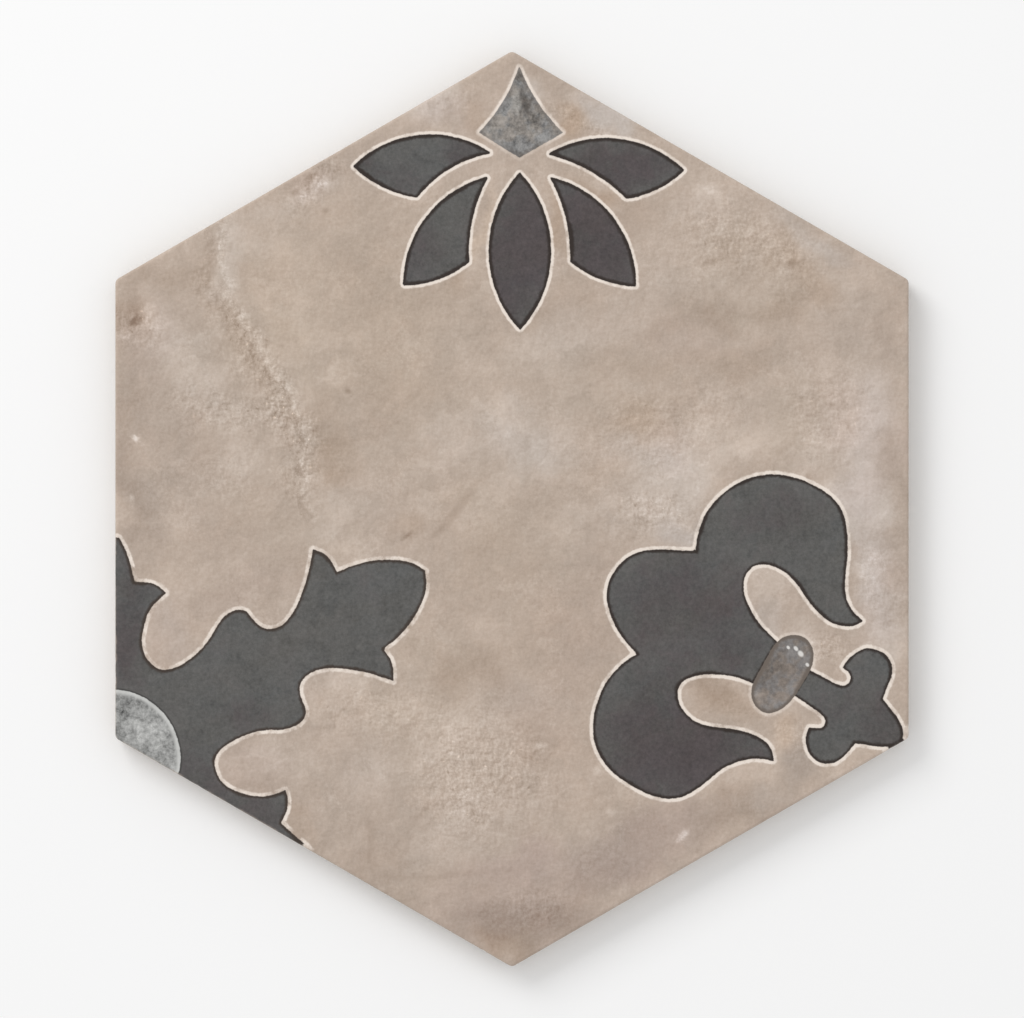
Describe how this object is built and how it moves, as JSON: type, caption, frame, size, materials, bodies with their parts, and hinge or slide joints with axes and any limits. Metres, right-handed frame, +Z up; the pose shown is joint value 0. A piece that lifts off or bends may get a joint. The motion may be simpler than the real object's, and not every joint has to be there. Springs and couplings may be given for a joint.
{
  "type": "hexagon floor tile",
  "caption": "Flat hexagonal porcelain floor tile, matt and worn, with dark heraldic corner ornament on a stone-coloured ground and a keyed back.",
  "frame": {"origin": "middle of the back, on the plane the tile lies on", "axes": "+Z up through the wearing face, Y across two corners with +Y towards the corner with the fan, X across two flats"},
  "size_m": [0.216, 0.2488, 0.009],
  "materials": {
    "porcelain": "matt fired porcelain body, printed face with an aged look"
  },
  "bodies": {
    "root": {"hexagon_tile": "porcelain"}
  },
  "joints": []
}
